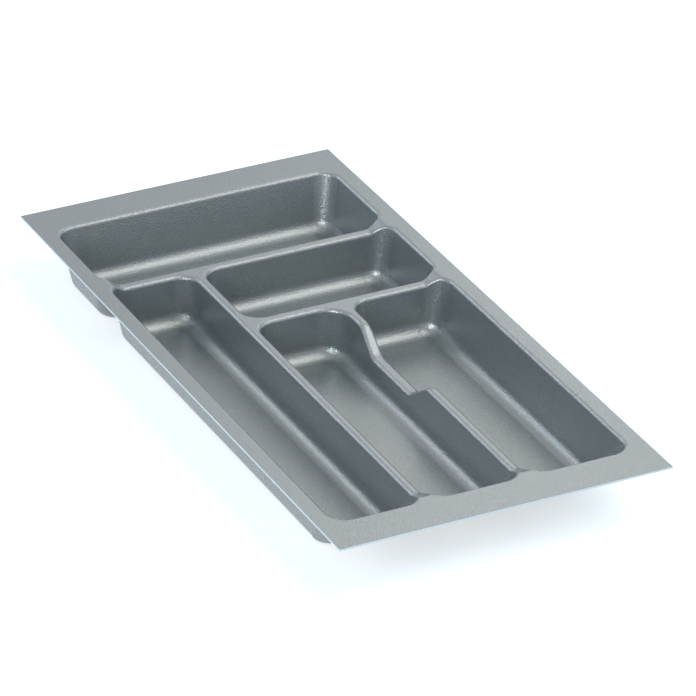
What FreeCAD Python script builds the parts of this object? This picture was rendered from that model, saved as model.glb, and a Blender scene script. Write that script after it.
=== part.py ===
"""Cutlery tray for a kitchen drawer: one sheet of plastic, vacuum formed into five wells.

Millimetres, +Z up, +Y to the back of the drawer. The origin is on the face that the tray rests on,
under the middle of its outline. The sheet is formed as a whole, between an upper and a lower face,
and is then parted into its named zones: four rails of the rim, four dividers and five wells.
"""
import FreeCAD, Part
import os

import Sketcher

# Driving dimensions of the tray, in millimetres and degrees.
SIZES = {
    "tray_width": 230.0,
    "tray_length": 490.0,
    "well_depth": 39.3,
    "sheet_thickness": 1.2,
    "side_flange": 12.0,
    "end_flange": 29.5,
    "wall_draft": 11.0,
    "divider_draft": 3.0,
    "divider_back_draft": 23.0,
    "ramp_draft": 45.0,
    "corner_radius": 13.0,
    "swept_corner_radius": 18.0,
    "floor_radius": 10.0,
    "rim_radius": 3.0,
    "divider_width": 7.0,
    "divider_drop": 5.2,
    "side_drop_inset": 3.0,
    "front_drop_inset": 6.0,
    "drop_run": 8.0,
    "drop_radius": 5.0,
    "back_well_length": 82.3,
    "middle_well_length": 78.2,
    "left_well_width": 61.2,
    "centre_well_width": 62.6,
    "saddle_drop": 16.0,
    "saddle_setback": 30.5,
    "saddle_length": 54.5,
    "saddle_back_run": 18.0,
    "saddle_front_run": 23.5,
    "saddle_radius": 9.0,
    "lip_depth": 12.0,
    "form_margin": 10.0,
}

# Places worked out from the driving dimensions, at the level of the flange's top face.
RIM_LEVEL = "(Sizes.well_depth + Sizes.sheet_thickness)"
HALF_WIDTH = "(Sizes.tray_width / 2 - Sizes.side_flange)"
HALF_LENGTH = "(Sizes.tray_length / 2 - Sizes.end_flange)"
GAP = "(Sizes.divider_width - 2 * Sizes.divider_drop * tan(Sizes.divider_draft))"
CROSS_GAP = ("(Sizes.divider_width - Sizes.divider_drop"
             " * (tan(Sizes.divider_draft) + tan(Sizes.divider_back_draft)))")
BACK_DIVIDER_Y = f"({HALF_LENGTH} - Sizes.back_well_length - {CROSS_GAP} / 2)"
MIDDLE_DIVIDER_Y = f"({BACK_DIVIDER_Y} - Sizes.middle_well_length - {CROSS_GAP})"
LEFT_RIGHT_X = f"(-{HALF_WIDTH} + Sizes.left_well_width)"
LONG_DIVIDER_X = f"({LEFT_RIGHT_X} + {GAP} / 2)"
CENTRE_LEFT_X = f"({LONG_DIVIDER_X} + {GAP} / 2)"
CENTRE_RIGHT_X = f"({CENTRE_LEFT_X} + Sizes.centre_well_width)"
STEPPED_DIVIDER_X = f"({CENTRE_RIGHT_X} + {GAP} / 2)"
RIGHT_LEFT_X = f"({STEPPED_DIVIDER_X} + {GAP} / 2)"
BACK_WELL_FRONT_Y = f"({BACK_DIVIDER_Y} + {CROSS_GAP} / 2)"
LEFT_WELLS_BACK_Y = f"({BACK_DIVIDER_Y} - {CROSS_GAP} / 2)"
MIDDLE_WELL_FRONT_Y = f"({MIDDLE_DIVIDER_Y} + {CROSS_GAP} / 2)"
FRONT_WELLS_BACK_Y = f"({MIDDLE_DIVIDER_Y} - {CROSS_GAP} / 2)"

# Rim outline of each well: left, right, front and back.
WELLS = {
    "back_well": (f"-{HALF_WIDTH}", HALF_WIDTH, BACK_WELL_FRONT_Y, HALF_LENGTH),
    "left_well": (f"-{HALF_WIDTH}", LEFT_RIGHT_X, f"-{HALF_LENGTH}", LEFT_WELLS_BACK_Y),
    "middle_well": (CENTRE_LEFT_X, HALF_WIDTH, MIDDLE_WELL_FRONT_Y, LEFT_WELLS_BACK_Y),
    "centre_well": (CENTRE_LEFT_X, CENTRE_RIGHT_X, f"-{HALF_LENGTH}", FRONT_WELLS_BACK_Y),
    "right_well": (RIGHT_LEFT_X, HALF_WIDTH, f"-{HALF_LENGTH}", FRONT_WELLS_BACK_Y),
}

# Slope of each wall of a well, in the same order. The front wells end in a ramp.
OUTER = "Sizes.wall_draft"
INNER = "Sizes.divider_draft"
SHELF = "Sizes.divider_back_draft"
RAMP = "Sizes.ramp_draft"
DRAFTS = {
    "back_well": (OUTER, OUTER, SHELF, OUTER),
    "left_well": (OUTER, INNER, RAMP, INNER),
    "middle_well": (INNER, OUTER, SHELF, INNER),
    "centre_well": (INNER, INNER, RAMP, INNER),
    "right_well": (INNER, OUTER, RAMP, INNER),
}

# The saddle in the stepped divider, from its back crest to its front crest.
SADDLE_BACK_CREST = f"({FRONT_WELLS_BACK_Y} - Sizes.saddle_setback)"
SADDLE_BACK_FOOT = f"({SADDLE_BACK_CREST} - Sizes.saddle_back_run)"
SADDLE_FRONT_FOOT = f"({SADDLE_BACK_FOOT} - Sizes.saddle_length)"
SADDLE_FRONT_CREST = f"({SADDLE_FRONT_FOOT} - Sizes.saddle_front_run)"

# How far two places may differ, in millimetres, and the share of the volume that rounding may cost.
TOLERANCE = 1e-4
VOLUME_SHARE = 5e-4

doc = FreeCAD.newDocument("cutlery_tray")
sheet = doc.addObject("Spreadsheet::Sheet", "Sizes")
for row, (alias, number) in enumerate(SIZES.items(), start=1):
    sheet.set(f"A{row}", alias)
    sheet.set(f"B{row}", str(number))
    sheet.setAlias(f"B{row}", alias)
doc.recompute()


def value(expression):
    """Number that an expression on the sheet gives."""
    return float(sheet.evalExpression(expression))


def polygon(body, name, role, offset, corners):
    """Closed sketch on one of the body's own planes, with both places of each corner bound."""
    sketch = body.newObject("Sketcher::SketchObject", name)
    plane = next(feature for feature in body.Origin.OriginFeatures if feature.Role == role)
    sketch.AttachmentSupport = (plane, [""])
    sketch.MapMode = "FlatFace"
    sketch.setExpression("AttachmentOffset.Base.z", offset)
    points = [FreeCAD.Vector(value(across), value(along), 0) for across, along in corners]
    count = len(points)
    for index in range(count):
        sketch.addGeometry(Part.LineSegment(points[index], points[(index + 1) % count]), False)
    for index in range(count):
        sketch.addConstraint(Sketcher.Constraint("Coincident", index, 2, (index + 1) % count, 1))
    for index, (across, along) in enumerate(corners):
        for kind, place in (("DistanceX", across), ("DistanceY", along)):
            bound = sketch.addConstraint(Sketcher.Constraint(kind, -1, 1, index, 1, value(place)))
            sketch.setExpression(f"Constraints[{bound}]", place)
    doc.recompute()
    return sketch


def rectangle(left, right, front, back):
    """Corners of a rectangle, in order."""
    return [(left, front), (right, front), (right, back), (left, back)]


def pocket(body, name, sketch, length):
    """Cut a sketch into the body to both sides of its plane, and stop if that took nothing away."""
    volume = body.Shape.Volume
    feature = body.newObject("PartDesign::Pocket", name)
    feature.Profile = sketch
    feature.Midplane = True
    feature.setExpression("Length", length)
    doc.recompute()
    if body.Shape.Volume >= volume:
        raise RuntimeError(f"{name} cuts nothing")


def drafted_well(body, name, outline, drafts, level):
    """Cut a well into the body, each of its four walls leaning in by its own angle."""
    left, right, front, back = outline
    run_left, run_right, run_front, run_back = (f"Sizes.well_depth * tan({draft})" for draft in drafts)
    upright = 90
    well = body.newObject("PartDesign::SubtractiveWedge", name)
    well.Placement = FreeCAD.Placement(FreeCAD.Vector(), FreeCAD.Rotation(FreeCAD.Vector(1, 0, 0), upright))
    places = {
        "Ymin": f"{level} - Sizes.well_depth",
        "Ymax": level,
        "X2min": left,
        "X2max": right,
        "Z2min": f"-({back})",
        "Z2max": f"-({front})",
        "Xmin": f"{left} + {run_left}",
        "Xmax": f"{right} - {run_right}",
        "Zmin": f"-({back} - {run_back})",
        "Zmax": f"-({front} + {run_front})",
    }
    for place, expression in places.items():
        well.setExpression(place, expression)
    doc.recompute()


def round_edges(body, name, wanted, radius):
    """Round the edges of the body that pass a test."""
    names = [f"Edge{number}" for number, edge in enumerate(body.Shape.Edges, start=1) if wanted(edge)]
    if not names:
        raise RuntimeError(f"{name} finds no edges")
    base = body.Tip
    feature = body.newObject("PartDesign::Fillet", name)
    feature.Base = (base, names)
    feature.setExpression("Radius", radius)
    doc.recompute()


def at(number, other):
    """True where two places are the same."""
    return abs(number - other) < TOLERANCE


def corner_edge(places, level, floor):
    """Test for the upright edges of wells that start from the given corners of their outlines."""
    spots = [(value(x), value(y)) for x, y in places]

    def wanted(edge):
        low = min(edge.Vertexes, key=lambda vertex: vertex.Z)
        high = max(edge.Vertexes, key=lambda vertex: vertex.Z)
        if not (at(low.Z, floor) and at(high.Z, level)):
            return False
        return any(at(high.X, x) and at(high.Y, y) for x, y in spots)

    return wanted


def cross_edge(axis, places):
    """Test for level edges that cross a divider at the given places along it."""
    spots = [(value(place), value(level)) for place, level in places]

    def wanted(edge):
        ends = [(getattr(vertex, axis), vertex.Z) for vertex in edge.Vertexes]
        return any(all(at(place, spot) and at(z, level) for place, z in ends) for spot, level in spots)

    return wanted


def rim_edge(body, lowest):
    """Test for the edges between a wall, which goes down to a floor, and a top face, which does not."""
    width = value("Sizes.tray_width / 2")
    length = value("Sizes.tray_length / 2")

    def wanted(edge):
        walls = [face.BoundBox.ZMin < lowest for face in body.Shape.ancestorsOfType(edge, Part.Face)]
        inside = all(abs(v.X) < width - TOLERANCE and abs(v.Y) < length - TOLERANCE for v in edge.Vertexes)
        return inside and sorted(walls) == [False, True]

    return wanted


def form(name, below):
    """Block whose upper face is a face of the sheet, at a depth below the sheet's own upper face."""
    level = f"({RIM_LEVEL} - {below})"
    side = f"(Sizes.tray_width / 2 + {below})"
    end = f"(Sizes.tray_length / 2 + {below})"
    base = f"(-Sizes.form_margin - {below})"
    over = f"{level} + Sizes.form_margin"
    body = doc.addObject("PartDesign::Body", name)

    outline = polygon(body, f"{name}_outline", "XY_Plane", base, rectangle(f"-{side}", side, f"-{end}", end))
    block = body.newObject("PartDesign::Pad", f"{name}_block")
    block.Profile = outline
    block.setExpression("Length", f"{level} - {base}")
    doc.recompute()

    # Drafted wells, with rounded corners. One corner, beside the saddle, is rounder than the rest.
    corners = {}
    for well, outline in WELLS.items():
        grown = []
        for place, draft, outward in zip(outline, DRAFTS[well], ("-", "+", "-", "+")):
            grown.append(f"({place} {outward} {below} * (1 - sin({draft})) / cos({draft}))")
        drafted_well(body, f"{name}_{well}", grown, DRAFTS[well], level)
        corners[well] = rectangle(*grown)
    top = value(level)
    floor = value(f"{level} - Sizes.well_depth")
    back_right = 2
    swept = [corners["centre_well"].pop(back_right)]
    others = [corner for outline in corners.values() for corner in outline]
    round_edges(body, f"{name}_swept_corner", corner_edge(swept, top, floor),
                f"Sizes.swept_corner_radius + {below}")
    round_edges(body, f"{name}_corners", corner_edge(others, top, floor), f"Sizes.corner_radius + {below}")

    # Dividers, lower than the flange, with a short slope where each one meets it.
    low = f"({level} - Sizes.divider_drop)"
    reach = f"({GAP} + 2 * (Sizes.corner_radius + Sizes.swept_corner_radius))"
    crest_x = f"({HALF_WIDTH} - Sizes.side_drop_inset)"
    foot_x = f"({crest_x} - Sizes.drop_run)"
    crest_y = f"(-{HALF_LENGTH} + Sizes.front_drop_inset)"
    foot_y = f"({crest_y} + Sizes.drop_run)"
    right_end = [(foot_x, low), (crest_x, level), (crest_x, over)]
    left_end = [(f"-{crest_x}", over), (f"-{crest_x}", level), (f"-{foot_x}", low)]
    front_end = [(crest_y, over), (crest_y, level), (foot_y, low)]
    long_start = [(LONG_DIVIDER_X, over), (LONG_DIVIDER_X, low)]
    saddle = f"({low} - Sizes.saddle_drop)"
    crests = [(SADDLE_FRONT_CREST, low), (SADDLE_BACK_CREST, low)]
    feet = [(SADDLE_FRONT_FOOT, saddle), (SADDLE_BACK_FOOT, saddle)]
    back_start = [(BACK_DIVIDER_Y, low), (BACK_DIVIDER_Y, over)]
    middle_start = [(MIDDLE_DIVIDER_Y, low), (MIDDLE_DIVIDER_Y, over)]
    saddle_line = [crests[0], feet[0], feet[1], crests[1]]
    drops = {
        "back_drop": ("XZ_Plane", f"-{BACK_DIVIDER_Y}", left_end + right_end),
        "middle_drop": ("XZ_Plane", f"-{MIDDLE_DIVIDER_Y}", long_start + right_end),
        "long_drop": ("YZ_Plane", LONG_DIVIDER_X, front_end + back_start),
        "stepped_drop": ("YZ_Plane", STEPPED_DIVIDER_X, front_end + saddle_line + middle_start),
    }
    for drop, (role, offset, profile) in drops.items():
        sketch = polygon(body, f"{name}_{drop}_profile", role, offset, profile)
        pocket(body, f"{name}_{drop}", sketch, reach)
    side_crests = [(crest_x, level), (f"-{crest_x}", level)]
    side_feet = [(foot_x, low), (f"-{foot_x}", low)]
    bends = {
        "saddle_crests": ("Y", crests, f"Sizes.saddle_radius - {below}"),
        "saddle_feet": ("Y", feet, f"Sizes.saddle_radius + {below}"),
        "side_crests": ("X", side_crests, f"Sizes.drop_radius - {below}"),
        "side_feet": ("X", side_feet, f"Sizes.drop_radius + {below}"),
        "front_crests": ("Y", [(crest_y, level)], f"Sizes.drop_radius - {below}"),
        "front_feet": ("Y", [(foot_y, low)], f"Sizes.drop_radius + {below}"),
    }
    for bend, (axis, places, radius) in bends.items():
        round_edges(body, f"{name}_{bend}", cross_edge(axis, places), radius)

    # Rounding along the floor of every well.
    def on_floor(edge):
        return all(at(vertex.Z, floor) for vertex in edge.Vertexes)

    round_edges(body, f"{name}_floors", on_floor, f"Sizes.floor_radius + {below}")
    return body


def box(name, x_range, y_range, z_range):
    """Box between places that are bound to the sheet."""
    solid = doc.addObject("Part::Box", name)
    for side, axis, (low, high) in zip(("Length", "Width", "Height"), "xyz", (x_range, y_range, z_range)):
        solid.setExpression(side, f"({high}) - ({low})")
        solid.setExpression(f"Placement.Base.{axis}", low)
    return solid


def boolean(kind, name, base, tool):
    """Boolean of two objects of the document."""
    result = doc.addObject(f"Part::{kind}", name)
    result.Base = base
    result.Tool = tool
    doc.recompute()
    return result


def formed_sheet():
    """The whole sheet: what lies between its upper and lower faces, both rounded along the rims."""
    lowest = value("Sizes.sheet_thickness + Sizes.floor_radius")
    upper = form("upper_face", "0")
    round_edges(upper, "upper_rims", rim_edge(upper, lowest), "Sizes.rim_radius")
    lower = form("lower_face", "Sizes.sheet_thickness")
    round_edges(lower, "lower_rims", rim_edge(lower, lowest), "Sizes.rim_radius - Sizes.sheet_thickness")
    return boolean("Cut", "formed_sheet", upper, lower)


def zones():
    """Range of each named zone of the sheet along X, Y and Z."""
    margin = "Sizes.form_margin"
    side = f"(Sizes.tray_width / 2 + {margin})"
    end = f"(Sizes.tray_length / 2 + {margin})"
    inner_x = f"({HALF_WIDTH} - Sizes.corner_radius)"
    inner_y = f"({HALF_LENGTH} - Sizes.corner_radius)"
    seam = f"({RIM_LEVEL} - Sizes.lip_depth)"
    top = f"({RIM_LEVEL} + {margin})"
    above = (seam, top)
    below = (f"-{margin}", seam)
    corner = f"({GAP} / 2 + Sizes.corner_radius)"
    back_front = f"({BACK_DIVIDER_Y} - {corner})"
    middle_front = f"({FRONT_WELLS_BACK_Y} - Sizes.swept_corner_radius)"
    long_right = f"({LONG_DIVIDER_X} + {corner})"
    saddle_seam = f"({seam} - Sizes.saddle_drop)"
    return {
        "rim_front": ((f"-{side}", side), (f"-{end}", f"-{inner_y}"), above),
        "rim_back": ((f"-{side}", side), (inner_y, end), above),
        "rim_left": ((f"-{side}", f"-{inner_x}"), (f"-{inner_y}", inner_y), above),
        "rim_right": ((inner_x, side), (f"-{inner_y}", inner_y), above),
        "back_divider": ((f"-{inner_x}", inner_x), (back_front, f"{BACK_DIVIDER_Y} + {corner}"), above),
        "long_divider": ((f"{LONG_DIVIDER_X} - {corner}", long_right), (f"-{inner_y}", back_front), above),
        "middle_divider": ((long_right, inner_x), (middle_front, f"{MIDDLE_DIVIDER_Y} + {corner}"), above),
        "stepped_divider": ((f"{STEPPED_DIVIDER_X} - {corner}", f"{STEPPED_DIVIDER_X} + {corner}"),
                            (f"-{inner_y}", middle_front), (saddle_seam, top)),
        "back_well": ((f"-{side}", side), (BACK_DIVIDER_Y, end), below),
        "left_well": ((f"-{side}", LONG_DIVIDER_X), (f"-{end}", BACK_DIVIDER_Y), below),
        "middle_well": ((LONG_DIVIDER_X, side), (MIDDLE_DIVIDER_Y, BACK_DIVIDER_Y), below),
        "centre_well": ((LONG_DIVIDER_X, STEPPED_DIVIDER_X), (f"-{end}", MIDDLE_DIVIDER_Y), below),
        "right_well": ((STEPPED_DIVIDER_X, side), (f"-{end}", MIDDLE_DIVIDER_Y), below),
    }


def build():
    """Part the sheet into its zones, each one a solid of its own."""
    whole = formed_sheet()
    boxes = {name: box(f"{name}_zone", *ranges) for name, ranges in zones().items()}
    parts = {}
    for name, zone in boxes.items():
        beside_saddle = name in ("centre_well", "right_well")
        zone_name = f"{name}_with_saddle" if beside_saddle else name
        parts[name] = boolean("Common", zone_name, whole, zone)
        if beside_saddle:
            parts[name] = boolean("Cut", name, parts[name], boxes["stepped_divider"])
        parts[name].Label = name
    return whole, parts


def check(whole, parts):
    """Stop unless every object is sound, and the zones add up to the whole sheet."""
    for item in doc.Objects:
        if "Invalid" in item.State or "Error" in item.State:
            raise RuntimeError(f"{item.Label} failed: {item.State}")
    for name, item in parts.items():
        shape = item.Shape
        if shape.isNull() or not shape.isValid() or len(shape.Solids) != 1:
            raise RuntimeError(f"{name} is not one sound solid")
    total = sum(item.Shape.Volume for item in parts.values())
    if abs(total - whole.Shape.Volume) > VOLUME_SHARE * whole.Shape.Volume:
        raise RuntimeError(f"the zones hold {total:.0f} of {whole.Shape.Volume:.0f} cubic millimetres")


def export(parts):
    """Write each zone to its own file."""
    os.makedirs("parts", exist_ok=True)
    for item in parts.values():
        item.Shape.exportStep(f"parts/{item.Label}.step")
        extent = item.Shape.optimalBoundingBox()
        print(f"{item.Label}: {extent.XLength:.1f} x {extent.YLength:.1f} x {extent.ZLength:.1f} mm")


sheet_object, tray_parts = build()
check(sheet_object, tray_parts)
export(tray_parts)
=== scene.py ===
"""Looks of the cutlery tray: one grained plastic sheet, formed into five wells inside a flat flange.

Metres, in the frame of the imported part: +Z up, +Y to the back of the drawer.
"""

import logging
import math
from dataclasses import dataclass, field
from enum import Enum

import bmesh
import bpy
import numpy as np
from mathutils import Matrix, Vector
from mathutils.geometry import delaunay_2d_cdt


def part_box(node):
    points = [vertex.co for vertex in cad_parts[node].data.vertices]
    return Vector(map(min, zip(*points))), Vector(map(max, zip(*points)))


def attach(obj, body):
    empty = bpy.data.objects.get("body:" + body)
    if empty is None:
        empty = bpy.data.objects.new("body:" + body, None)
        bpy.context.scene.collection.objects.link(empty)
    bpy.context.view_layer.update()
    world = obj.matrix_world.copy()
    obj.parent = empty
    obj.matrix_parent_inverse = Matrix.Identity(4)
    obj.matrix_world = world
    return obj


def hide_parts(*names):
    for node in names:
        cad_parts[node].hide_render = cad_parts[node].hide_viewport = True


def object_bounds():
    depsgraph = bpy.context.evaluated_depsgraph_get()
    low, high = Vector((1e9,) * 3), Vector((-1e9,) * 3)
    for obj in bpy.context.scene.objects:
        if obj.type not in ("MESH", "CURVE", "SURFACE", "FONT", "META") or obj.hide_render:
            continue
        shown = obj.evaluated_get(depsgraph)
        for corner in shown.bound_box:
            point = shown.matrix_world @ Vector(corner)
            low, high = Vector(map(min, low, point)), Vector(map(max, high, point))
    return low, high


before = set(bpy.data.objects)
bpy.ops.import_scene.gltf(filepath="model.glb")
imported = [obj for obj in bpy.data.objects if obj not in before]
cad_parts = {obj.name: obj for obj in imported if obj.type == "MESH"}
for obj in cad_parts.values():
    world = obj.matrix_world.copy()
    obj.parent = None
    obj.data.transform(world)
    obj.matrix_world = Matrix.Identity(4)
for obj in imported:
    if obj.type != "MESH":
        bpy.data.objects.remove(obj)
CAD_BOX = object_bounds()

LOG = logging.getLogger("cutlery_tray")
BODY = "root"
NORMAL_NAME = "skin_normal"
WELL_LAYER = "well"
WHITE = (1.0, 1.0, 1.0, 1.0)


class Wall(Enum):
    """Slope of a wall away from upright, in degrees."""

    OUTER = 11.0
    INNER = 3.0
    SHELF = 23.0
    RAMP = 45.0

    @property
    def rate(self) -> float:
        """Inward run for each unit of depth."""
        return math.tan(math.radians(self.value))


class Wire:
    """A socket that takes part in sums, which add their Math nodes to the tree."""

    def __init__(self, bench: "NodeBench", socket: bpy.types.NodeSocket) -> None:
        """Hold a socket of the bench's tree."""
        self.bench = bench
        self.socket = socket

    def _sum(self, operation: str, first: object, second: object = 0.0) -> "Wire":
        """Add one Math node.

        Args:
            operation: Blender's name of the operation.
            first: a Wire or a number.
            second: a Wire or a number.

        Returns:
            The node's result.
        """
        node = self.bench.node("ShaderNodeMath", {"operation": operation}, {0: first, 1: second})
        return self.bench.wire(node)

    def __add__(self, other: object) -> "Wire":
        """Sum with a wire or a number."""
        return self._sum("ADD", self, other)

    __radd__ = __add__

    def __sub__(self, other: object) -> "Wire":
        """Difference with a wire or a number."""
        return self._sum("SUBTRACT", self, other)

    def __rsub__(self, other: object) -> "Wire":
        """Difference of a number and this wire."""
        return self._sum("SUBTRACT", other, self)

    def __mul__(self, other: object) -> "Wire":
        """Product with a wire or a number."""
        return self._sum("MULTIPLY", self, other)

    __rmul__ = __mul__

    def __abs__(self) -> "Wire":
        """Size without its sign."""
        return self._sum("ABSOLUTE", self)

    def __gt__(self, other: object) -> "Wire":
        """One where this is more than the other, and zero elsewhere."""
        return self._sum("GREATER_THAN", self, other)

    def at_most(self, other: object) -> "Wire":
        """The lesser of the two."""
        return self._sum("MINIMUM", self, other)

    def at_least(self, other: object) -> "Wire":
        """The greater of the two."""
        return self._sum("MAXIMUM", self, other)


class NodeBench:
    """Lays out the nodes of one shader or geometry tree."""

    def __init__(self, tree: bpy.types.NodeTree) -> None:
        """Start on a tree, which is emptied."""
        self.tree = tree
        tree.nodes.clear()

    def node(self, kind: str, settings: dict | None = None, inputs: dict | None = None) -> bpy.types.Node:
        """Add a node.

        Args:
            kind: Blender's type of the node.
            settings: the node's own properties, set first.
            inputs: a value, socket or Wire for each named or numbered input.

        Returns:
            The new node.
        """
        made = self.tree.nodes.new(kind)
        for name, setting in (settings or {}).items():
            setattr(made, name, setting)
        for key, given in (inputs or {}).items():
            self.feed(made.inputs[key], given)
        return made

    def feed(self, socket: bpy.types.NodeSocket, given: object) -> None:
        """Link a wire or a socket to an input, or set the input's value.

        Args:
            socket: the input.
            given: a Wire, a socket or a plain value.
        """
        if isinstance(given, Wire):
            given = given.socket
        if isinstance(given, bpy.types.NodeSocket):
            self.tree.links.new(given, socket)
        else:
            socket.default_value = given

    def wire(self, node: bpy.types.Node, output: str | int = 0) -> Wire:
        """Output of a node, ready for sums."""
        return Wire(self, node.outputs[output])

    def blend(self, share: object, first: object, second: object) -> bpy.types.NodeSocket:
        """Mix two colours.

        Args:
            share: how much of the second colour there is, from 0 to 1.
            first: a colour or a socket.
            second: a colour or a socket.

        Returns:
            The mixed colour's socket.
        """
        factor, colour_a, colour_b, colour_out = 0, 6, 7, 2
        mix = self.node("ShaderNodeMix", {"data_type": "RGBA"},
                        {factor: share, colour_a: first, colour_b: second})
        return mix.outputs[colour_out]


@dataclass(frozen=True)
class GrainedPlastic:
    """Satin silver-grey plastic with a fine pebbled grain, and a pale saw-cut edge whose colour is partly a
    painted highlight.
    """

    name: str = "grained_silver_plastic"
    silver: tuple = (0.256, 0.272, 0.273, 1.0)
    shade: tuple = (0.23, 0.245, 0.247, 1.0)
    fleck: tuple = (0.56, 0.585, 0.585, 1.0)
    # Colour of the saw-cut edge: partly the edge's own duller sawn look, partly a painted highlight for the
    # light that the edge catches.
    cut_edge: tuple = (0.72, 0.75, 0.755, 1.0)
    metallic: float = 0.56
    roughness: float = 0.22
    roughness_swing: float = 0.12
    cut_roughness: float = 0.2
    pebble: float = 0.0009
    pebble_smoothness: float = 0.6
    fleck_size: float = 0.0005
    fleck_detail: float = 2.0
    fleck_start: float = 0.56
    fleck_gain: float = 7.0
    fleck_share: float = 0.45
    fleck_relief: float = 0.5
    cloud: float = 0.06
    cloud_detail: float = 4.0
    cloud_middle: float = 0.5
    grain_height: float = 0.00015
    edge_width: float = 0.0001

    def build(self, half_width: float, half_length: float) -> bpy.types.Material:
        """Make the material.

        Args:
            half_width: from the tray's middle to its cut edge along X.
            half_length: from the tray's middle to its cut edge along Y.

        Returns:
            The material, with its pattern on object coordinates.
        """
        material = bpy.data.materials.new(self.name)
        material.use_nodes = True
        bench = NodeBench(material.node_tree)
        place = bench.node("ShaderNodeTexCoord").outputs["Object"]
        pebbles = bench.wire(bench.node(
            "ShaderNodeTexVoronoi", {"feature": "SMOOTH_F1"},
            {"Vector": place, "Scale": 1 / self.pebble, "Smoothness": self.pebble_smoothness}), "Distance")
        flecks = bench.wire(bench.node("ShaderNodeTexNoise", inputs={
            "Vector": place, "Scale": 1 / self.fleck_size, "Detail": self.fleck_detail}))
        clouds = bench.wire(bench.node("ShaderNodeTexNoise", inputs={
            "Vector": place, "Scale": 1 / self.cloud, "Detail": self.cloud_detail}))
        split = bench.node("ShaderNodeSeparateXYZ", inputs={"Vector": place})
        # Mask of the saw-cut edge: it sets the edge's real duller, rougher finish and also carries its
        # painted highlight.
        beyond_side = abs(bench.wire(split, "X")) > half_width - self.edge_width
        beyond_end = abs(bench.wire(split, "Y")) > half_length - self.edge_width
        cut = beyond_side.at_least(beyond_end)

        sparkle = ((flecks - self.fleck_start) * self.fleck_gain).at_least(0.0).at_most(1.0)
        body = bench.blend(clouds, self.shade, self.silver)
        flecked = bench.blend(sparkle * self.fleck_share, body, self.fleck)
        # The saw-cut edge is painted pale: partly its own sawn look, partly a painted highlight where it
        # catches the light.
        colour = bench.blend(cut, flecked, self.cut_edge)
        bump = bench.node("ShaderNodeBump", inputs={
            "Strength": 1.0, "Distance": self.grain_height,
            "Height": pebbles + flecks * self.fleck_relief})
        swing = (clouds - self.cloud_middle) * self.roughness_swing
        shader = bench.node("ShaderNodeBsdfPrincipled", inputs={
            "Base Color": colour,
            "Metallic": (1.0 - cut) * self.metallic,
            "Roughness": self.roughness + swing + cut * self.cut_roughness,
            "Normal": bump.outputs["Normal"],
        })
        output = bench.node("ShaderNodeOutputMaterial")
        bench.feed(output.inputs["Surface"], shader.outputs["BSDF"])
        return material


@dataclass(frozen=True)
class Step:
    """A slope along one axis: level before its start, the whole drop lower past its end."""

    start: float
    end: float
    drop: float
    radius: float

    def level(self, place: np.ndarray) -> np.ndarray:
        """Level at places along the axis, with both ends of the slope rounded.

        Args:
            place: positions along the axis.

        Returns:
            Heights, zero or below.
        """
        run = abs(self.end - self.start)
        ease = self.radius * math.tan(math.atan2(self.drop, run) / 2)
        along = (place - self.start) * math.copysign(1.0, self.end - self.start)

        def area(x: np.ndarray) -> np.ndarray:
            """Area under the plain slope up to x."""
            return np.where(x < run, np.maximum(x, 0.0) ** 2 / (2 * run), x - run / 2)

        return -self.drop * (area(along + ease) - area(along - ease)) / (2 * ease)


@dataclass(frozen=True)
class TraySizes:
    """Driving dimensions of the formed sheet."""

    well_depth: float = 0.0393
    thickness: float = 0.0012
    side_flange: float = 0.012
    end_flange: float = 0.0295
    corner_radius: float = 0.013
    swept_corner_radius: float = 0.018
    floor_radius: float = 0.010
    rim_radius: float = 0.003
    divider_width: float = 0.007
    divider_drop: float = 0.0052
    side_drop_inset: float = 0.003
    front_drop_inset: float = 0.006
    drop_run: float = 0.008
    drop_radius: float = 0.005
    back_well_length: float = 0.0823
    middle_well_length: float = 0.0782
    left_well_width: float = 0.0612
    centre_well_width: float = 0.0626
    saddle_drop: float = 0.016
    saddle_setback: float = 0.0305
    saddle_length: float = 0.0545
    saddle_back_run: float = 0.018
    saddle_front_run: float = 0.0235
    saddle_radius: float = 0.009

    @property
    def gap(self) -> float:
        """Space between the rim outlines of two wells that lie side by side."""
        return self.divider_width - 2 * self.divider_drop * Wall.INNER.rate

    @property
    def cross_gap(self) -> float:
        """Space between the rim outlines of two wells that lie one behind the other."""
        return self.divider_width - self.divider_drop * (Wall.INNER.rate + Wall.SHELF.rate)


@dataclass
class WellColumns:
    """Places round a well's rim outline, with the way that the wall goes down from each."""

    spot: list = field(default_factory=list)
    inward: list = field(default_factory=list)
    along: list = field(default_factory=list)
    rate: list = field(default_factory=list)
    drift: list = field(default_factory=list)

    def add(self, spot: np.ndarray, inward: np.ndarray, along: np.ndarray, rate: float,
            drift: float) -> None:
        """Add one column.

        Args:
            spot: place on the outline, in plan.
            inward: direction into the well.
            along: direction round the outline.
            rate: inward run for each unit of depth.
            drift: run along the outline for each unit of depth.
        """
        self.spot.append(spot)
        self.inward.append(inward)
        self.along.append(along)
        self.rate.append(rate)
        self.drift.append(drift)

    def arrays(self) -> tuple[np.ndarray, ...]:
        """The columns as arrays, in the order of the fields."""
        parts = (self.spot, self.inward, self.along, self.rate, self.drift)
        return tuple(np.array(part) for part in parts)


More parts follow.
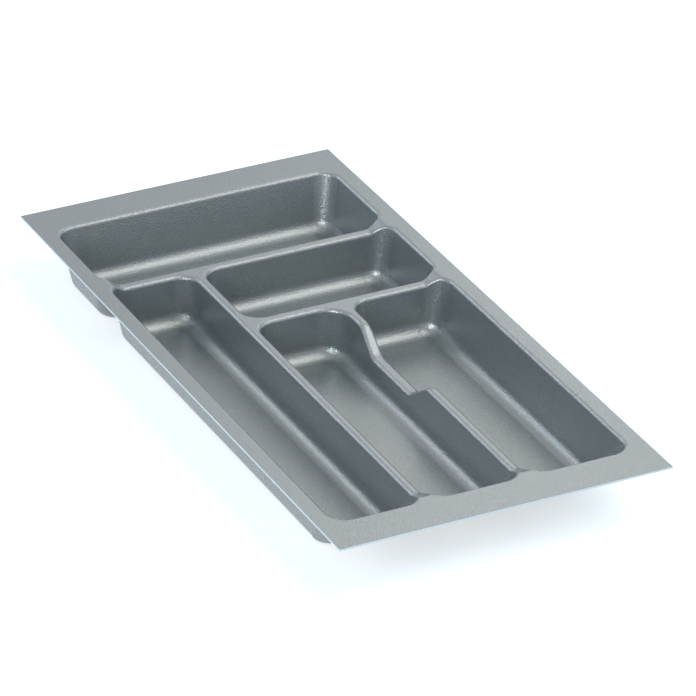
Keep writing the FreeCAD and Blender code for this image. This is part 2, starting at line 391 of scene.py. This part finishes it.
@dataclass(frozen=True)
class Well:
    """One well: a drafted, rounded hollow with its own slope on each wall."""

    name: str
    left: float
    right: float
    front: float
    back: float
    walls: tuple[Wall, Wall, Wall, Wall]
    radii: tuple[float, float, float, float]
    spacing: float = 0.002
    corner_steps: int = 16
    drift_power: int = 4

    def columns(self) -> WellColumns:
        """Columns round the well, from the front left corner and against the clock.

        Returns:
            Columns along the four sides, with an arc of columns at each corner.
        """
        made = WellColumns()
        corners = [np.array(spot) for spot in ((self.left, self.front), (self.right, self.front),
                                               (self.right, self.back), (self.left, self.back))]
        count = len(corners)
        for side in range(count):
            start, end = corners[side], corners[(side + 1) % count]
            along = (end - start) / np.linalg.norm(end - start)
            inward = np.array((-along[1], along[0]))
            before, here, after = (self.walls[(side + turn) % count].rate for turn in (-1, 0, 1))
            radius = self.radii[(side + 1) % count]
            first = start + along * self.radii[side]
            last = end - along * radius
            self._straight(made, first, last, inward, (before, here, after))
            centre = last + inward * radius
            for step in range(self.corner_steps + 1):
                turn = step / self.corner_steps * math.pi / 2
                into = math.cos(turn) * inward - math.sin(turn) * along
                round_it = math.sin(turn) * inward + math.cos(turn) * along
                rate = math.cos(turn) * here + math.sin(turn) * after
                drift = math.sin(turn) * here - math.cos(turn) * after
                made.add(centre - radius * into, into, round_it, rate, drift)
        return made

    def _straight(self, made: WellColumns, first: np.ndarray, last: np.ndarray, inward: np.ndarray,
                  rates: tuple[float, float, float]) -> None:
        """Add the columns between two corners, on a grid that all wells share.

        Args:
            made: the columns so far.
            first: where the side starts.
            last: where the side ends.
            inward: direction into the well.
            rates: inward runs of the walls before, at and after this side.
        """
        before, here, after = rates
        length = np.linalg.norm(last - first)
        along = (last - first) / length
        axis = int(abs(along[1]) > abs(along[0]))
        low, high = sorted((first[axis], last[axis]))
        marks = np.arange(math.ceil(low / self.spacing), math.floor(high / self.spacing) + 1) * self.spacing
        marks = marks[(marks > low + self.spacing / 4) & (marks < high - self.spacing / 4)]
        for mark in marks if along[axis] > 0 else marks[::-1]:
            share = abs(mark - first[axis]) / length
            drift = before * (1 - share) ** self.drift_power - after * share ** self.drift_power
            made.add(first + along * share * length, inward, along, here, drift)


class TopSurface:
    """Level of the flange and the divider tops, below the flange's own top face."""

    def __init__(self, sizes: TraySizes, places: "TrayPlaces") -> None:
        """Set up the slopes of the four dividers.

        Args:
            sizes: the sheet's sizes.
            places: the tray's places in plan.
        """
        self.places = places
        crest_x = places.half_width - sizes.side_drop_inset
        crest_y = -places.half_length + sizes.front_drop_inset
        self.reach = sizes.gap / 2 + sizes.corner_radius + sizes.swept_corner_radius
        self.side = Step(crest_x, crest_x - sizes.drop_run, sizes.divider_drop, sizes.drop_radius)
        self.end = Step(crest_y, crest_y + sizes.drop_run, sizes.divider_drop, sizes.drop_radius)
        back_crest = places.front_wells_back - sizes.saddle_setback
        back_foot = back_crest - sizes.saddle_back_run
        front_foot = back_foot - sizes.saddle_length
        front_crest = front_foot - sizes.saddle_front_run
        self.down = Step(back_crest, back_foot, sizes.saddle_drop, sizes.saddle_radius)
        self.up = Step(front_crest, front_foot, sizes.saddle_drop, sizes.saddle_radius)

    def level(self, x: np.ndarray, y: np.ndarray) -> np.ndarray:
        """Level at places in plan.

        Args:
            x: places across the tray.
            y: places along the tray.

        Returns:
            Heights, zero on the flange and below zero on the dividers.
        """
        at = self.places
        near_back = abs(y - at.back_divider) < self.reach
        near_middle = (abs(y - at.middle_divider) < self.reach) & (x > at.long_divider)
        near_long = (abs(x - at.long_divider) < self.reach) & (y < at.back_divider)
        near_stepped = (abs(x - at.stepped_divider) < self.reach) & (y < at.middle_divider)
        ends = self.end.level(y)
        saddle = ends + np.maximum(self.down.level(y), self.up.level(y))
        levels = [
            np.where(near_back, self.side.level(abs(x)), 0.0),
            np.where(near_middle, self.side.level(x), 0.0),
            np.where(near_long, ends, 0.0),
            np.where(near_stepped, saddle, 0.0),
        ]
        return np.minimum.reduce(levels)

    def slope(self, x: np.ndarray, y: np.ndarray) -> np.ndarray:
        """Rise of the level for each unit along X and along Y.

        Args:
            x: places across the tray.
            y: places along the tray.

        Returns:
            Pairs of slopes.
        """
        hair = 1e-5
        rise_x = self.level(x + hair, y) - self.level(x - hair, y)
        rise_y = self.level(x, y + hair) - self.level(x, y - hair)
        return np.stack((rise_x, rise_y), axis=-1) / (2 * hair)


class TrayPlaces:
    """Places in plan that follow from the sizes and from the part's own box."""

    def __init__(self, sizes: TraySizes) -> None:
        """Work out the dividers' middles and the wells' rim outlines.

        Args:
            sizes: the sheet's sizes.
        """
        _, high = CAD_BOX
        self.outer_x = high.x
        self.outer_y = high.y
        self.top = high.z
        self.half_width = self.outer_x - sizes.side_flange
        self.half_length = self.outer_y - sizes.end_flange
        half_gap, half_cross = sizes.gap / 2, sizes.cross_gap / 2
        self.back_divider = self.half_length - sizes.back_well_length - half_cross
        self.middle_divider = self.back_divider - sizes.middle_well_length - 2 * half_cross
        self.long_divider = -self.half_width + sizes.left_well_width + half_gap
        self.stepped_divider = self.long_divider + 2 * half_gap + sizes.centre_well_width
        self.front_wells_back = self.middle_divider - half_cross
        left, right = -self.half_width, self.half_width
        front, back = -self.half_length, self.half_length
        plain = (sizes.corner_radius,) * 4
        swept = (*plain[:2], sizes.swept_corner_radius, plain[3])
        self.wells = [
            Well("back_well", left, right, self.back_divider + half_cross, back,
                 (Wall.SHELF, Wall.OUTER, Wall.OUTER, Wall.OUTER), plain),
            Well("left_well", left, self.long_divider - half_gap, front, self.back_divider - half_cross,
                 (Wall.RAMP, Wall.INNER, Wall.INNER, Wall.OUTER), plain),
            Well("middle_well", self.long_divider + half_gap, right, self.middle_divider + half_cross,
                 self.back_divider - half_cross, (Wall.SHELF, Wall.OUTER, Wall.INNER, Wall.INNER), plain),
            Well("centre_well", self.long_divider + half_gap, self.stepped_divider - half_gap, front,
                 self.front_wells_back, (Wall.RAMP, Wall.INNER, Wall.INNER, Wall.INNER), swept),
            Well("right_well", self.stepped_divider + half_gap, right, front, self.front_wells_back,
                 (Wall.RAMP, Wall.OUTER, Wall.INNER, Wall.INNER), plain),
        ]


class FormedSkin:
    """Upper face of the whole sheet, as one mesh with its own smooth normals."""

    RIM_STEPS = 7
    WALL_STEPS = 6
    FLOOR_STEPS = 12
    SETTLE_ROUNDS = 6
    LEAST_SLOPE = 1e-4
    PLAN_TOLERANCE = 1e-9
    ALL_TRIANGLES = 0
    TOP_MARK = 0

    def __init__(self, sizes: TraySizes, places: TrayPlaces) -> None:
        """Start an empty skin.

        Args:
            sizes: the sheet's sizes.
            places: the tray's places in plan.
        """
        self.sizes = sizes
        self.places = places
        self.surface = TopSurface(sizes, places)
        self.points: list[np.ndarray] = []
        self.normals: list[np.ndarray] = []
        self.faces: list[tuple[list[int], int]] = []
        self.rings: list[np.ndarray] = []
        self.count = 0

    def add_points(self, points: np.ndarray, normals: np.ndarray) -> np.ndarray:
        """Add points to the skin.

        Args:
            points: rows of three coordinates.
            normals: rows of three, one for each point.

        Returns:
            The new points' numbers.
        """
        numbers = np.arange(self.count, self.count + len(points))
        self.points.append(points)
        self.normals.append(normals)
        self.count += len(points)
        return numbers

    def rim(self, spot: np.ndarray, inward: np.ndarray, draft: np.ndarray) -> tuple[np.ndarray, ...]:
        """Fit the rounded rim between the top and the wall of each column.

        Args:
            spot: places on the well's outline.
            inward: directions into the well.
            draft: slopes of the wall away from upright, in radians.

        Returns:
            The arcs' centres, inward and up, and the tilt of the top at each.
        """
        radius = self.sizes.rim_radius
        touch = -radius * np.ones(len(spot))
        for _ in range(self.SETTLE_ROUNDS):
            x, y = (spot + inward * touch[:, None]).T
            level = self.surface.level(x, y)
            tilt = np.arctan((self.surface.slope(x, y) * inward).sum(axis=1))
            reach = radius + touch * np.sin(tilt) - level * np.cos(tilt)
            share = -np.cos(tilt - draft)
            centre_u = (radius * np.cos(tilt) - reach * np.sin(draft)) / share
            centre_z = (radius * np.sin(tilt) + reach * np.cos(draft)) / share
            touch = centre_u - radius * np.sin(tilt)
        return centre_u, centre_z, tilt

    def profile(self, centre_u: np.ndarray, centre_z: np.ndarray, tilt: np.ndarray,
                draft: np.ndarray) -> tuple[np.ndarray, ...]:
        """Section of the sheet from the rim to the floor at each column.

        Args:
            centre_u: inward places of the rim arcs' centres.
            centre_z: heights of the rim arcs' centres.
            tilt: tilt of the top at each column.
            draft: slopes of the wall away from upright.

        Returns:
            Inward places, heights, and the two parts of the section's normal, as rows of columns.
        """
        rim, floor, depth = self.sizes.rim_radius, self.sizes.floor_radius, self.sizes.well_depth
        rows = []
        for step in range(self.RIM_STEPS + 1):
            share = step / self.RIM_STEPS
            turn = (1 - share) * (math.pi / 2 + tilt) + share * draft
            across, up = np.cos(turn), np.sin(turn)
            rows.append((centre_u + rim * across, centre_z + rim * up, across, up))
        foot_u = (depth - floor) * np.tan(draft) + floor / np.cos(draft)
        foot_z = floor - depth
        start, end = rows[-1], (foot_u - floor * np.cos(draft), foot_z - floor * np.sin(draft))
        for step in range(1, self.WALL_STEPS):
            share = step / self.WALL_STEPS
            rows.append(tuple((1 - share) * start[part] + share * end[part] for part in (0, 1)) + start[2:])
        for step in range(self.FLOOR_STEPS + 1):
            share = step / self.FLOOR_STEPS
            turn = (1 - share) * draft + share * math.pi / 2
            across, up = np.cos(turn), np.sin(turn)
            rows.append((foot_u - floor * across, foot_z - floor * up, across, up))
        return tuple(np.array(part) for part in zip(*rows))

    def form_well(self, well: Well, mark: int) -> None:
        """Add a well's walls and floor.

        Args:
            well: the well.
            mark: number that its faces carry.
        """
        spot, inward, along, rate, drift = well.columns().arrays()
        draft = np.arctan(rate)
        centre_u, centre_z, tilt = self.rim(spot, inward, draft)
        into, height, normal_u, normal_z = self.profile(centre_u, centre_z, tilt, draft)
        plan = spot + into[..., None] * inward - (height * drift)[..., None] * along
        points = np.concatenate((plan, height[..., None] + self.places.top), axis=-1)
        down = np.concatenate((normal_z[..., None] * inward + (normal_u * drift)[..., None] * along,
                               -normal_u[..., None]), axis=-1)
        around = np.roll(points, -1, axis=1) - np.roll(points, 1, axis=1)
        normals = np.cross(around, down)
        normals /= np.linalg.norm(normals, axis=-1, keepdims=True)
        rows, columns = height.shape
        numbers = self.add_points(points.reshape(-1, 3), normals.reshape(-1, 3)).reshape(rows, columns)
        after = np.roll(numbers, -1, axis=1)
        for row in range(rows - 1):
            for quad in zip(numbers[row], after[row], after[row + 1], numbers[row + 1]):
                self.faces.append(([int(number) for number in quad], mark))
        self.faces.append(([int(number) for number in numbers[-1]], mark))
        self.rings.append(numbers[0])

    def fill_top(self, spacing: float = 0.0025, clearance: float = 0.001) -> None:
        """Add the flange and the divider tops, which fill the plan between the wells' rims.

        Args:
            spacing: distance between spare points where the top slopes.
            clearance: least distance of a spare point from a rim.
        """
        at = self.places
        corners = np.array(((-at.outer_x, -at.outer_y), (at.outer_x, -at.outer_y),
                            (at.outer_x, at.outer_y), (-at.outer_x, at.outer_y)))
        everything = np.concatenate(self.points)
        rims = [everything[ring][:, :2] for ring in self.rings]
        grid = np.stack(np.meshgrid(np.arange(-at.half_width, at.half_width, spacing),
                                    np.arange(-at.half_length, at.half_length, spacing)), axis=-1)
        grid = grid.reshape(-1, 2)
        sloped = np.abs(self.surface.slope(*grid.T)).max(axis=1) > self.LEAST_SLOPE
        grid = grid[sloped]
        for rim in rims:
            apart = np.array([np.min(np.linalg.norm(rim - spot, axis=1)) for spot in grid])
            grid = grid[(apart > clearance) & ~inside(grid, rim)]
        spare = np.concatenate((corners, grid))
        slope = self.surface.slope(*spare.T)
        normals = np.concatenate((-slope, np.ones((len(spare), 1))), axis=1)
        normals /= np.linalg.norm(normals, axis=1, keepdims=True)
        height = at.top + self.surface.level(*spare.T)
        numbers = self.add_points(np.column_stack((spare, height)), normals)
        loops = [numbers[:len(corners)]] + self.rings
        known = np.concatenate([numbers] + self.rings)
        row_of = {int(number): row for row, number in enumerate(known)}
        plan = np.concatenate(self.points)[known][:, :2]
        edges = [(row_of[int(start)], row_of[int(end)])
                 for loop in loops for start, end in zip(loop, np.roll(loop, -1))]
        spots, _, triangles, origin, _, _ = delaunay_2d_cdt(
            [Vector(spot) for spot in plan], edges, [], self.ALL_TRIANGLES, self.PLAN_TOLERANCE)
        middles = np.array([np.mean([spots[corner] for corner in triangle], axis=0)
                            for triangle in triangles])
        solid = ~np.any([inside(middles, rim) for rim in rims], axis=0)
        for triangle in (triangle for triangle, keep in zip(triangles, solid) if keep):
            self.faces.append(([int(known[origin[corner][0]]) for corner in triangle], self.TOP_MARK))

    def mesh(self) -> bmesh.types.BMesh:
        """The skin as a bmesh, with a layer for normals and one for the well that a face belongs to.

        Returns:
            The mesh, still whole.
        """
        made = bmesh.new()
        normal_layer = made.verts.layers.float_vector.new(NORMAL_NAME)
        well_layer = made.faces.layers.int.new(WELL_LAYER)
        verts = []
        for point, normal in zip(np.concatenate(self.points), np.concatenate(self.normals)):
            vert = made.verts.new(point)
            vert[normal_layer] = normal
            verts.append(vert)
        for corners, mark in self.faces:
            face = made.faces.new([verts[corner] for corner in corners])
            face[well_layer] = mark
        return made


def inside(spots: np.ndarray, loop: np.ndarray) -> np.ndarray:
    """Tell which places lie inside a closed loop.

    Args:
        spots: places in plan.
        loop: the loop's corners in plan.

    Returns:
        True for each place inside.
    """
    x, y = spots[:, 0, None], spots[:, 1, None]
    x_a, y_a = loop.T
    x_b, y_b = np.roll(loop, -1, axis=0).T
    spans = (y_a > y) != (y_b > y)
    run = np.where(y_b == y_a, 1.0, y_b - y_a)
    crossing = x < (x_b - x_a) * (y - y_a) / run + x_a
    return (spans & crossing).sum(axis=1) % 2 == 1


@dataclass(frozen=True)
class Zone:
    """Zone of the sheet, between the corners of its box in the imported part."""

    low: Vector
    high: Vector

    @classmethod
    def of_node(cls, name: str) -> "Zone":
        """Zone with the box of the node of that name."""
        return cls(*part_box(name))

    def holds(self, spot: Vector) -> bool:
        """Tell whether a place lies in the zone's box."""
        return all(self.low[axis] < spot[axis] < self.high[axis] for axis in range(3))


class SheetThickness:
    """Geometry tree that turns a patch of skin into a closed piece of sheet."""

    WELD_DISTANCE = 1e-6
    LEAST_LIKENESS = 0.5

    def __init__(self, thickness: float, material: bpy.types.Material) -> None:
        """Build the tree once, for all pieces.

        Args:
            thickness: the sheet's thickness.
            material: the finish of every face.
        """
        self.thickness = thickness
        self.material = material
        self.tree = bpy.data.node_groups.new("sheet_thickness", "GeometryNodeTree")
        sockets = self.tree.interface
        sockets.new_socket("Skin", in_out="INPUT", socket_type="NodeSocketGeometry")
        depth = sockets.new_socket("Thickness", in_out="INPUT", socket_type="NodeSocketFloat")
        finish = sockets.new_socket("Finish", in_out="INPUT", socket_type="NodeSocketMaterial")
        sockets.new_socket("Sheet", in_out="OUTPUT", socket_type="NodeSocketGeometry")
        self.thickness_input = depth.identifier
        self.finish_input = finish.identifier
        self._lay_out()

    def _lay_out(self) -> None:
        """Extrude the skin along its own normals, close it and give it its finish."""
        bench = NodeBench(self.tree)
        given = bench.node("NodeGroupInput")
        normal = bench.node("GeometryNodeInputNamedAttribute", {"data_type": "FLOAT_VECTOR"},
                            {"Name": NORMAL_NAME})
        inwards = bench.node("ShaderNodeVectorMath", {"operation": "SCALE"}, {
            0: normal.outputs["Attribute"], "Scale": bench.wire(given, "Thickness") * -1.0})
        copy = bench.node("GeometryNodeExtrudeMesh", {"mode": "FACES"}, {
            "Mesh": given.outputs["Skin"], "Offset Scale": 0.0, "Individual": False})
        lower = bench.node("GeometryNodeSetPosition", inputs={
            "Geometry": copy.outputs["Mesh"], "Selection": copy.outputs["Top"],
            "Offset": inwards.outputs["Vector"]})
        turned = bench.node("GeometryNodeFlipFaces", inputs={"Mesh": lower.outputs["Geometry"]})
        both = bench.node("GeometryNodeJoinGeometry", inputs={0: turned.outputs["Mesh"]})
        bench.feed(both.inputs[0], given.outputs["Skin"])
        closed = bench.node("GeometryNodeMergeByDistance", inputs={
            "Geometry": both.outputs["Geometry"], "Distance": self.WELD_DISTANCE})
        real = bench.node("GeometryNodeRealizeInstances", inputs={"Geometry": closed.outputs["Geometry"]})
        dressed = bench.node("GeometryNodeSetMaterial", inputs={
            "Geometry": real.outputs["Geometry"], "Material": bench.wire(given, "Finish")})
        output = bench.node("NodeGroupOutput")
        bench.feed(output.inputs["Sheet"], dressed.outputs["Geometry"])

    def apply(self, name: str, skin: bpy.types.Mesh) -> bpy.types.Object:
        """Make one closed piece.

        Args:
            name: the piece's name.
            skin: its patch of the upper face.

        Returns:
            The piece, with a plain mesh.
        """
        piece = bpy.data.objects.new(name, skin)
        bpy.context.scene.collection.objects.link(piece)
        modifier = piece.modifiers.new("sheet_thickness", "NODES")
        modifier.node_group = self.tree
        modifier[self.thickness_input] = self.thickness
        modifier[self.finish_input] = self.material
        evaluated = piece.evaluated_get(bpy.context.evaluated_depsgraph_get())
        solid = bpy.data.meshes.new_from_object(evaluated)
        piece.modifiers.remove(modifier)
        piece.data = solid
        solid.name = name
        self._keep_normals(solid)
        return piece

    def _keep_normals(self, mesh: bpy.types.Mesh) -> None:
        """Shade both faces by the skin's normals, and the cut edges flat.

        Args:
            mesh: the closed piece.
        """
        skin = np.zeros(len(mesh.vertices) * 3, np.float32)
        mesh.attributes[NORMAL_NAME].data.foreach_get("vector", skin)
        skin = skin.reshape(-1, 3)
        flat = np.zeros(len(mesh.polygons) * 3, np.float32)
        mesh.polygons.foreach_get("normal", flat)
        totals = np.zeros(len(mesh.polygons), np.int32)
        mesh.polygons.foreach_get("loop_total", totals)
        corner = np.zeros(len(mesh.loops), np.int32)
        mesh.loops.foreach_get("vertex_index", corner)
        face = np.repeat(flat.reshape(-1, 3), totals, axis=0)
        smooth = skin[corner] / np.linalg.norm(skin[corner], axis=1, keepdims=True)
        likeness = (face * smooth).sum(axis=1, keepdims=True)
        shown = np.where(np.abs(likeness) > self.LEAST_LIKENESS, np.sign(likeness) * smooth, face)
        mesh.attributes.remove(mesh.attributes[NORMAL_NAME])
        mesh.polygons.foreach_set("use_smooth", np.ones(len(mesh.polygons), bool))
        mesh.normals_split_custom_set(shown.tolist())


class Tray:
    """The whole tray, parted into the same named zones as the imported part."""

    RAILS = ("rim_front", "rim_back", "rim_left", "rim_right")
    DIVIDERS = ("back_divider", "long_divider", "middle_divider", "stepped_divider")
    SCORE_DISTANCE = 1e-7

    def __init__(self, sizes: TraySizes, finish: GrainedPlastic) -> None:
        """Work out the tray's places and make its finish.

        Args:
            sizes: the sheet's sizes.
            finish: the sheet's finish.
        """
        self.sizes = sizes
        self.places = TrayPlaces(sizes)
        self.material = finish.build(self.places.outer_x, self.places.outer_y)
        self.zones = {name: Zone.of_node(name) for name in (*self.RAILS, *self.DIVIDERS)}

    def skin(self) -> bmesh.types.BMesh:
        """Form the whole upper face and score it along the borders of the zones.

        Returns:
            The scored skin.
        """
        skin = FormedSkin(self.sizes, self.places)
        for mark, well in enumerate(self.places.wells, start=1):
            skin.form_well(well, mark)
        skin.fill_top()
        mesh = skin.mesh()
        for point, direction in self.borders():
            bmesh.ops.bisect_plane(mesh, geom=[*mesh.verts, *mesh.edges, *mesh.faces],
                                   dist=self.SCORE_DISTANCE, plane_co=point, plane_no=direction)
        return mesh

    def borders(self) -> list[tuple[Vector, Vector]]:
        """Planes that part the zones.

        Returns:
            A point and a direction for each plane.
        """
        across, along, up = Vector((1, 0, 0)), Vector((0, 1, 0)), Vector((0, 0, 1))
        zones = self.zones
        planes = [(zones["rim_left"].low, up), (zones["stepped_divider"].low, up)]
        planes += [(zones["rim_left"].high, across), (zones["rim_right"].low, across)]
        planes += [(zones["rim_front"].high, along), (zones["rim_back"].low, along)]
        for name, direction in (("long_divider", across), ("stepped_divider", across),
                                ("back_divider", along), ("middle_divider", along)):
            planes += [(zones[name].low, direction), (zones[name].high, direction)]
        return planes

    def zone_of(self, spot: Vector, mark: int) -> str:
        """Name of the zone that a face of the skin belongs to.

        Args:
            spot: the face's middle.
            mark: number of the face's well, or zero on the flange and the divider tops.

        Returns:
            The zone's name.
        """
        zones = self.zones
        if zones["stepped_divider"].holds(spot):
            return "stepped_divider"
        if spot.z < zones["rim_left"].low.z:
            return self.places.wells[mark - 1].name
        beyond = {
            "rim_front": spot.y < zones["rim_front"].high.y,
            "rim_back": spot.y > zones["rim_back"].low.y,
            "rim_left": spot.x < zones["rim_left"].high.x,
            "rim_right": spot.x > zones["rim_right"].low.x,
            "back_divider": spot.y > zones["back_divider"].low.y,
            "long_divider": spot.x < zones["long_divider"].high.x,
            "middle_divider": spot.y > zones["middle_divider"].low.y,
            "stepped_divider": True,
        }
        return next(name for name, is_there in beyond.items() if is_there)

    def build(self) -> list[bpy.types.Object]:
        """Make every piece and set it on the part.

        Returns:
            One closed piece for each zone.
        """
        mesh = self.skin()
        normal_layer = mesh.verts.layers.float_vector[NORMAL_NAME]
        well_layer = mesh.faces.layers.int[WELL_LAYER]
        patches: dict[str, list] = {}
        for face in mesh.faces:
            name = self.zone_of(face.calc_center_median(), face[well_layer])
            patches.setdefault(name, []).append(face)
        thickness = SheetThickness(self.sizes.thickness, self.material)
        pieces = []
        for name, faces in patches.items():
            verts = list(dict.fromkeys(vert for face in faces for vert in face.verts))
            row_of = {vert: row for row, vert in enumerate(verts)}
            skin = bpy.data.meshes.new(f"{name}_skin")
            skin.from_pydata([vert.co for vert in verts], [],
                             [[row_of[vert] for vert in face.verts] for face in faces])
            layer = skin.attributes.new(NORMAL_NAME, "FLOAT_VECTOR", "POINT")
            normals = np.array([vert[normal_layer].normalized() for vert in verts])
            layer.data.foreach_set("vector", normals.ravel())
            piece = thickness.apply(f"{name}_sheet", skin)
            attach(piece, BODY)
            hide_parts(name)
            LOG.info("%s: %d faces", piece.name, len(piece.data.polygons))
            pieces.append(piece)
        mesh.free()
        return pieces


@dataclass(frozen=True)
class SoftLight:
    """A soft box that faces the tray."""

    name: str
    direction: tuple[float, float, float]
    distance: float
    width: float
    height: float
    power: float
    colour: tuple[float, float, float]

    def build(self, target: Vector) -> None:
        """Place the light.

        Args:
            target: the place that it faces.
        """
        data = bpy.data.lights.new(self.name, "AREA")
        data.shape = "RECTANGLE"
        data.size, data.size_y, data.energy = self.width, self.height, self.power
        data.color = self.colour
        light = bpy.data.objects.new(self.name, data)
        away = Vector(self.direction).normalized()
        light.location = target + away * self.distance
        light.rotation_mode = "QUATERNION"
        light.rotation_quaternion = away.to_track_quat("Z", "Y")
        bpy.context.scene.collection.objects.link(light)


@dataclass(frozen=True)
class Studio:
    """Pale floor, soft lights and the camera at the photograph's angle."""

    azimuth: float = -26.06
    elevation: float = 28.59
    distance: float = 3.59409
    target: tuple[float, float] = (0.00153, -0.01851)
    focal_pixels: float = 5583.12
    frame_pixels: float = 696.0
    sensor: float = 36.0
    view_reach: float = 100.0
    floor_size: float = 40.0
    fill: float = 0.52
    fill_colour: tuple = (0.45, 0.78, 1.0, 1.0)
    floor_colour: tuple = (0.8, 0.8, 0.8, 1.0)
    floor_lift: float = 0.55
    lights: tuple[SoftLight, ...] = (
        SoftLight("key_left", direction=(-0.74, -0.52, 0.42), distance=2.2,
                  width=0.9, height=0.9, power=24.0, colour=(0.86, 0.95, 1.0)),
        SoftLight("low_back_left", direction=(-0.46, 0.79, 0.42), distance=2.0,
                  width=0.9, height=0.9, power=5.0, colour=(0.8, 0.92, 1.0)),
        SoftLight("overhead", direction=(0.386, -0.274, 0.882), distance=1.5,
                  width=1.15, height=1.15, power=9.6, colour=(1.0, 0.97, 0.90)),
        SoftLight("cool_right", direction=(0.80, -0.25, 0.55), distance=2.0,
                  width=0.9, height=0.9, power=6.0, colour=(0.5, 0.8, 1.0)),
        SoftLight("back_panel", direction=(0.494, 0.646, 0.668), distance=1.05,
                  width=0.46, height=0.46, power=0.85, colour=(1.0, 0.97, 0.92)),
    )

    def camera(self, top: float) -> None:
        """Make the camera.

        Args:
            top: height of the flange's top face.
        """
        turn, rise = math.radians(self.azimuth), math.radians(self.elevation)
        back = Vector((math.sin(turn) * math.cos(rise), -math.cos(turn) * math.cos(rise), math.sin(rise)))
        data = bpy.data.cameras.new("photo_camera")
        data.sensor_width = self.sensor
        data.lens = self.focal_pixels / self.frame_pixels * self.sensor
        data.clip_end = self.view_reach
        camera = bpy.data.objects.new("photo_camera", data)
        camera.location = Vector((*self.target, top)) + back * self.distance
        camera.rotation_mode = "QUATERNION"
        camera.rotation_quaternion = (-back).to_track_quat("-Z", "Y")
        bpy.context.scene.collection.objects.link(camera)
        bpy.context.scene.camera = camera

    def surroundings(self) -> None:
        """Make the floor and the world: white where they are seen, and a dim cool fill as light."""
        mesh = bpy.data.meshes.new("floor")
        half = self.floor_size / 2
        mesh.from_pydata([(-half, -half, 0), (half, -half, 0), (half, half, 0), (-half, half, 0)], [],
                         [(0, 1, 2, 3)])
        floor = bpy.data.objects.new("floor", mesh)
        floor.data.materials.append(self._floor_material())
        bpy.context.scene.collection.objects.link(floor)
        world = bpy.data.worlds.new("studio")
        world.use_nodes = True
        bpy.context.scene.world = world
        bench = NodeBench(world.node_tree)
        shown = self._shown(bench)
        light = bench.node("ShaderNodeBackground", inputs={
            "Color": bench.blend(shown, self.fill_colour, WHITE),
            "Strength": self.fill + shown * (1.0 - self.fill)})
        output = bench.node("ShaderNodeOutputWorld")
        bench.feed(output.inputs["Surface"], light.outputs["Background"])

    @staticmethod
    def _shown(bench: NodeBench) -> Wire:
        """One on rays that show the surroundings, straight or in a reflection, and zero on rays of light.

        Args:
            bench: the bench of the tree that asks.

        Returns:
            The wire.
        """
        path = bench.node("ShaderNodeLightPath")
        seen, mirrored, through = (bench.wire(path, f"Is {kind} Ray")
                                   for kind in ("Camera", "Glossy", "Transmission"))
        return (seen + mirrored + through).at_most(1.0)

    def _floor_material(self) -> bpy.types.Material:
        """Pale floor that keeps the tray's shadow and is lifted to white where it is seen.

        Returns:
            The material.
        """
        material = bpy.data.materials.new("pale_floor")
        material.use_nodes = True
        bench = NodeBench(material.node_tree)
        matt = bench.node("ShaderNodeBsdfDiffuse", inputs={"Color": self.floor_colour})
        lift = bench.node("ShaderNodeEmission", inputs={
            "Color": WHITE, "Strength": self._shown(bench) * self.floor_lift})
        both = bench.node("ShaderNodeAddShader", inputs={
            0: matt.outputs["BSDF"], 1: lift.outputs["Emission"]})
        output = bench.node("ShaderNodeOutputMaterial")
        bench.feed(output.inputs["Surface"], both.outputs["Shader"])
        return material

    def build(self, top: float) -> None:
        """Set up the whole studio.

        Args:
            top: height of the flange's top face.
        """
        bpy.context.scene.view_settings.view_transform = "Standard"
        self.camera(top)
        self.surroundings()
        for light in self.lights:
            light.build(Vector((0.0, 0.0, top)))


def main() -> None:
    """Build the tray and the studio round it."""
    logging.basicConfig(level=logging.INFO, format="%(name)s: %(message)s")
    tray = Tray(TraySizes(), GrainedPlastic())
    pieces = tray.build()
    LOG.info("%d pieces", len(pieces))
    Studio().build(tray.places.top)


if __name__ == "__main__":
    main()
